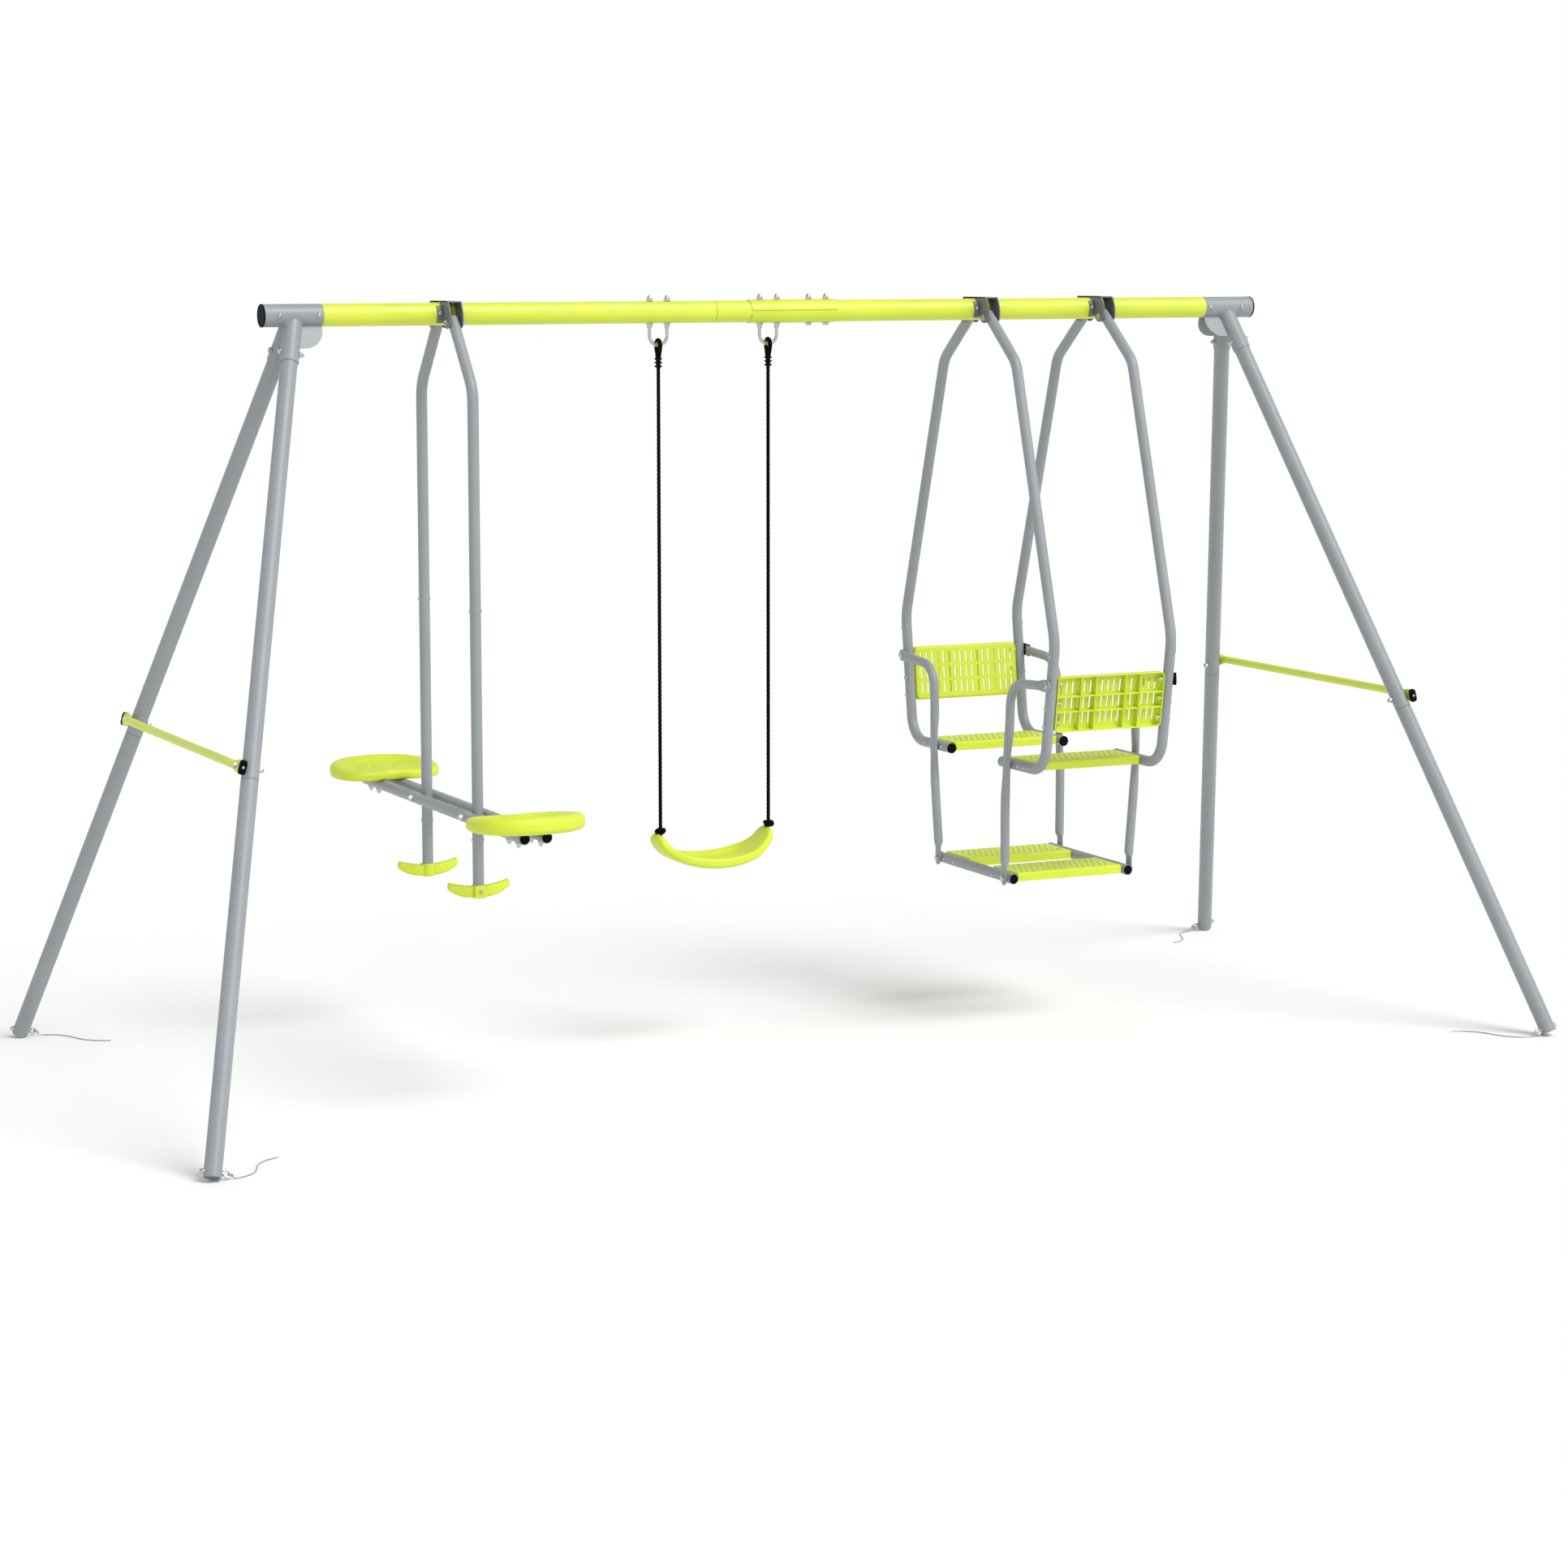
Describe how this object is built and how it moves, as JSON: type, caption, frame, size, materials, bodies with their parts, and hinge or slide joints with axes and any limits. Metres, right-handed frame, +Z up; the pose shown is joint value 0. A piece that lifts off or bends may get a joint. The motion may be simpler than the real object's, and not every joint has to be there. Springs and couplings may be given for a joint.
{
  "type": "family swing set with gliders",
  "caption": "Tubular A-frame swing set carrying a two-seat glider, a rope swing with a moulded belt seat and a face-to-face gondola glider.",
  "frame": {"origin": "on the ground, midway between the four feet and straight below the middle of the top beam", "axes": "+X along the beam towards the gondola, +Y from the front feet to the back feet, +Z up"},
  "size_m": [3.3788, 1.6026, 1.7724],
  "materials": {
    "lime_paint": "gloss lime powder coat",
    "grey_paint": "satin grey powder coat",
    "bracket_paint": "satin dark grey powder coat",
    "lime_plastic": "satin moulded lime plastic",
    "black_plastic": "matte black plastic",
    "zinc": "bright zinc plate",
    "steel_cable": "stranded galvanised wire",
    "rope": "black braided synthetic rope"
  },
  "bodies": {
    "frame": {"beam_left_tube": "lime_paint", "beam_right_tube": "lime_paint", "beam_collar": "lime_paint", "leg_bracket_left": "grey_paint", "beam_cap_left": "black_plastic", "brace_left": "lime_paint", "upper_leg_left_front": "grey_paint", "lower_leg_left_front": "grey_paint", "anchor_bolt_left_front": "zinc", "anchor_cable_left_front": "steel_cable", "upper_leg_left_back": "grey_paint", "lower_leg_left_back": "grey_paint", "anchor_bolt_left_back": "zinc", "anchor_cable_left_back": "steel_cable", "leg_bracket_right": "grey_paint", "beam_cap_right": "black_plastic", "brace_right": "lime_paint", "upper_leg_right_front": "grey_paint", "lower_leg_right_front": "grey_paint", "anchor_bolt_right_front": "zinc", "anchor_cable_right_front": "steel_cable", "upper_leg_right_back": "grey_paint", "lower_leg_right_back": "grey_paint", "anchor_bolt_right_back": "zinc", "anchor_cable_right_back": "steel_cable", "hanger_bracket_glider": "bracket_paint", "hanger_bracket_gondola_left": "bracket_paint", "hanger_bracket_gondola_right": "bracket_paint", "u_bolt_left": "zinc", "u_bolt_right": "zinc"},
    "glider_front": {"glider_front_tube": "grey_paint", "glider_footrest_front": "lime_plastic"},
    "glider_back": {"glider_back_tube": "grey_paint", "glider_footrest_back": "lime_plastic"},
    "glider_seats": {"glider_rail_left": "grey_paint", "glider_rail_right": "grey_paint", "glider_seat_front": "lime_plastic", "glider_seat_back": "lime_plastic"},
    "rope_swing": {"swing_rope_left": "rope", "swing_rope_right": "rope", "rope_eye_left": "rope", "rope_eye_right": "rope", "swing_seat": "lime_plastic"},
    "gondola_front": {"gondola_tube_front_left": "grey_paint", "gondola_tube_front_right": "grey_paint", "gondola_arm_front_left": "grey_paint", "gondola_arm_front_right": "grey_paint", "gondola_seat_front": "lime_plastic", "gondola_backrest_front": "lime_plastic"},
    "gondola_back": {"gondola_tube_back_left": "grey_paint", "gondola_tube_back_right": "grey_paint", "gondola_arm_back_left": "grey_paint", "gondola_arm_back_right": "grey_paint", "gondola_seat_back": "lime_plastic", "gondola_backrest_back": "lime_plastic"},
    "gondola_floor": {"gondola_floor_rail_left": "grey_paint", "gondola_floor_rail_right": "grey_paint", "gondola_footboard_front": "lime_plastic", "gondola_footboard_back": "lime_plastic"}
  },
  "joints": [
    {"name": "glider_front_hanger", "type": "hinge", "parent": "frame", "child": "glider_front", "pos_m": [-0.844, -0.05, 1.714], "axis": [1, 0, 0], "range_deg": [-25, 25]},
    {"name": "glider_back_hanger", "type": "hinge", "parent": "frame", "child": "glider_back", "pos_m": [-0.844, 0.05, 1.714], "axis": [1, 0, 0], "range_deg": [-25, 25]},
    {"name": "glider_rail_pin", "type": "hinge", "parent": "glider_front", "child": "glider_seats", "pos_m": [-0.844, -0.165, 0.6135], "axis": [1, 0, 0], "range_deg": [-8, 8]},
    {"name": "rope_swing_hanger", "type": "hinge", "parent": "frame", "child": "rope_swing", "pos_m": [-0.184, 0, 1.656], "axis": [1, 0, 0], "range_deg": [-45, 45]},
    {"name": "gondola_front_hanger", "type": "hinge", "parent": "frame", "child": "gondola_front", "pos_m": [0.677, -0.05, 1.714], "axis": [1, 0, 0], "range_deg": [-25, 25]},
    {"name": "gondola_back_hanger", "type": "hinge", "parent": "frame", "child": "gondola_back", "pos_m": [0.677, 0.05, 1.714], "axis": [1, 0, 0], "range_deg": [-25, 25]},
    {"name": "gondola_floor_pin", "type": "hinge", "parent": "gondola_front", "child": "gondola_floor", "pos_m": [0.677, -0.1696, 0.375], "axis": [1, 0, 0], "range_deg": [-8, 8]}
  ],
  "couplings": [
    {"joint": "glider_back_hanger", "follows": "glider_front_hanger", "ratio": 1},
    {"joint": "glider_rail_pin", "follows": "glider_front_hanger", "ratio": -0.303},
    {"joint": "gondola_back_hanger", "follows": "gondola_front_hanger", "ratio": 1},
    {"joint": "gondola_floor_pin", "follows": "gondola_front_hanger", "ratio": -0.2948}
  ]
}
